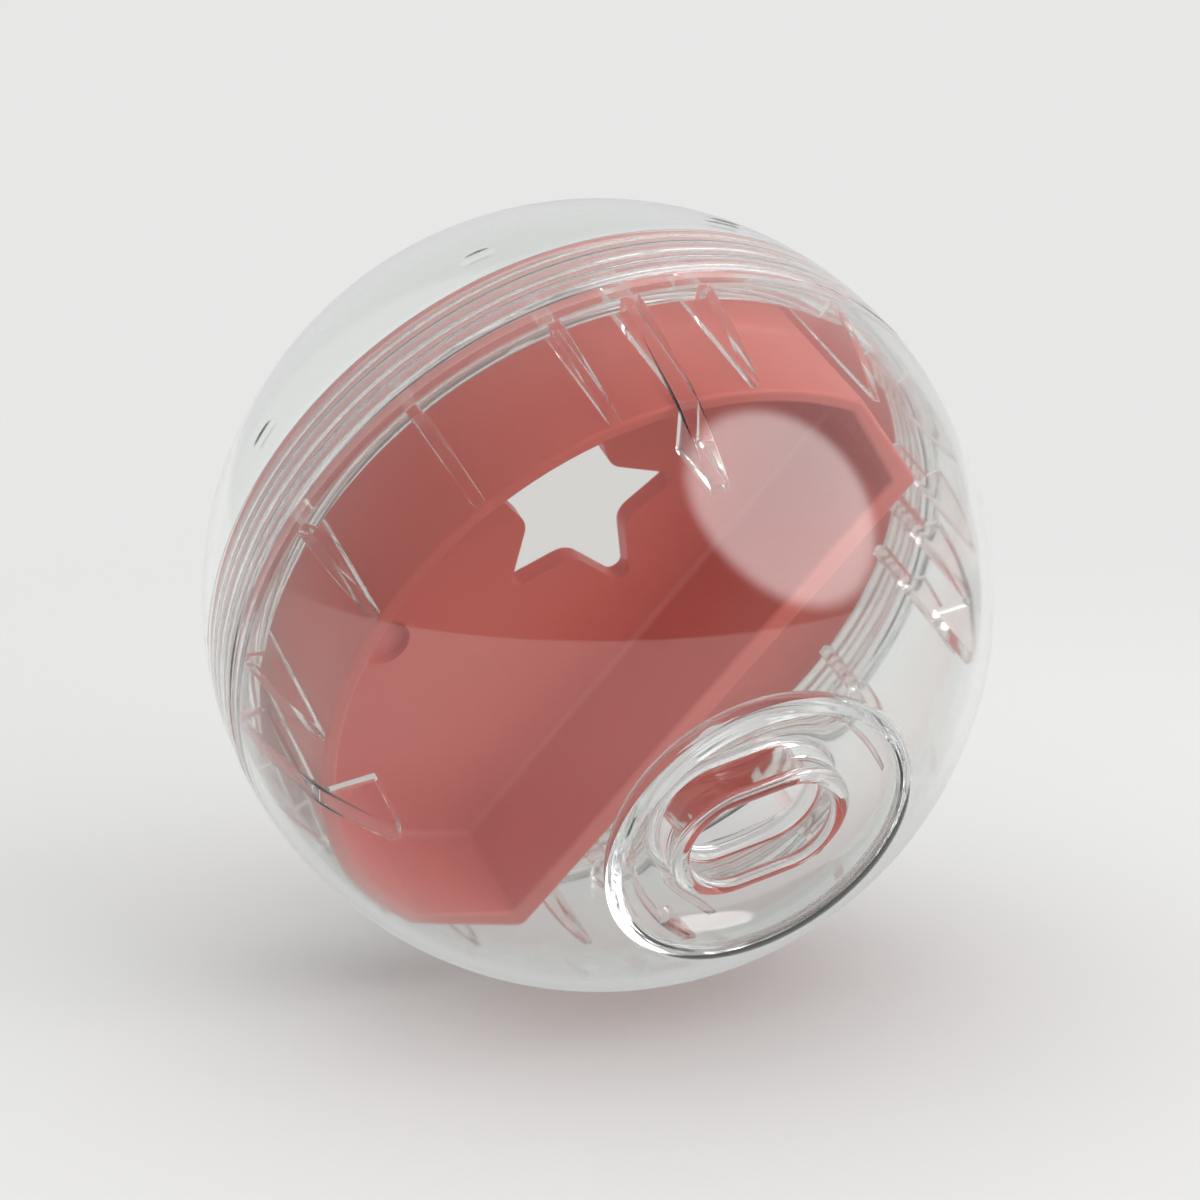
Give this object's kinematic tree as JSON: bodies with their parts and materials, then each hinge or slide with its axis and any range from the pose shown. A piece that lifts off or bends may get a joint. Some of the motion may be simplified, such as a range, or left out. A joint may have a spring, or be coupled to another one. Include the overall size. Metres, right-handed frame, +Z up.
{
  "type": "treat ball",
  "caption": "Clear two-part screw-together treat ball for pets, with a coloured inner divider that has a star-shaped hole, and a dished end with a slotted outlet.",
  "frame": {"origin": "on the floor, straight under the ball's middle, where the ball touches it", "axes": "+Z up; the outlet faces forwards along -Y, and its axis dips 27 degrees below the horizontal; +X to the right of someone who looks along +Y"},
  "size_m": [0.125, 0.125, 0.125],
  "materials": {
    "clear_plastic": "clear, colourless, polished",
    "coral_plastic": "opaque coral pink, glossy as moulded"
  },
  "bodies": {
    "bowl": {"outlet_bowl": "clear_plastic"},
    "divider": {"divider": "coral_plastic"},
    "cap": {"screw_cap": "clear_plastic"}
  },
  "joints": [
    {"name": "unscrew_turn", "type": "hinge", "parent": "bowl", "child": "divider", "pos_m": [0, 0, 0.0625], "axis": [0, 0.891, 0.454], "range_deg": [0, 1080]},
    {"name": "unscrew_travel", "type": "slide", "parent": "divider", "child": "cap", "axis": [0, 0.891, 0.454], "range_m": [0, 0.0124]}
  ],
  "couplings": [
    {"joint": "unscrew_travel", "follows": "unscrew_turn", "m_per_rad": 0.00065253}
  ]
}
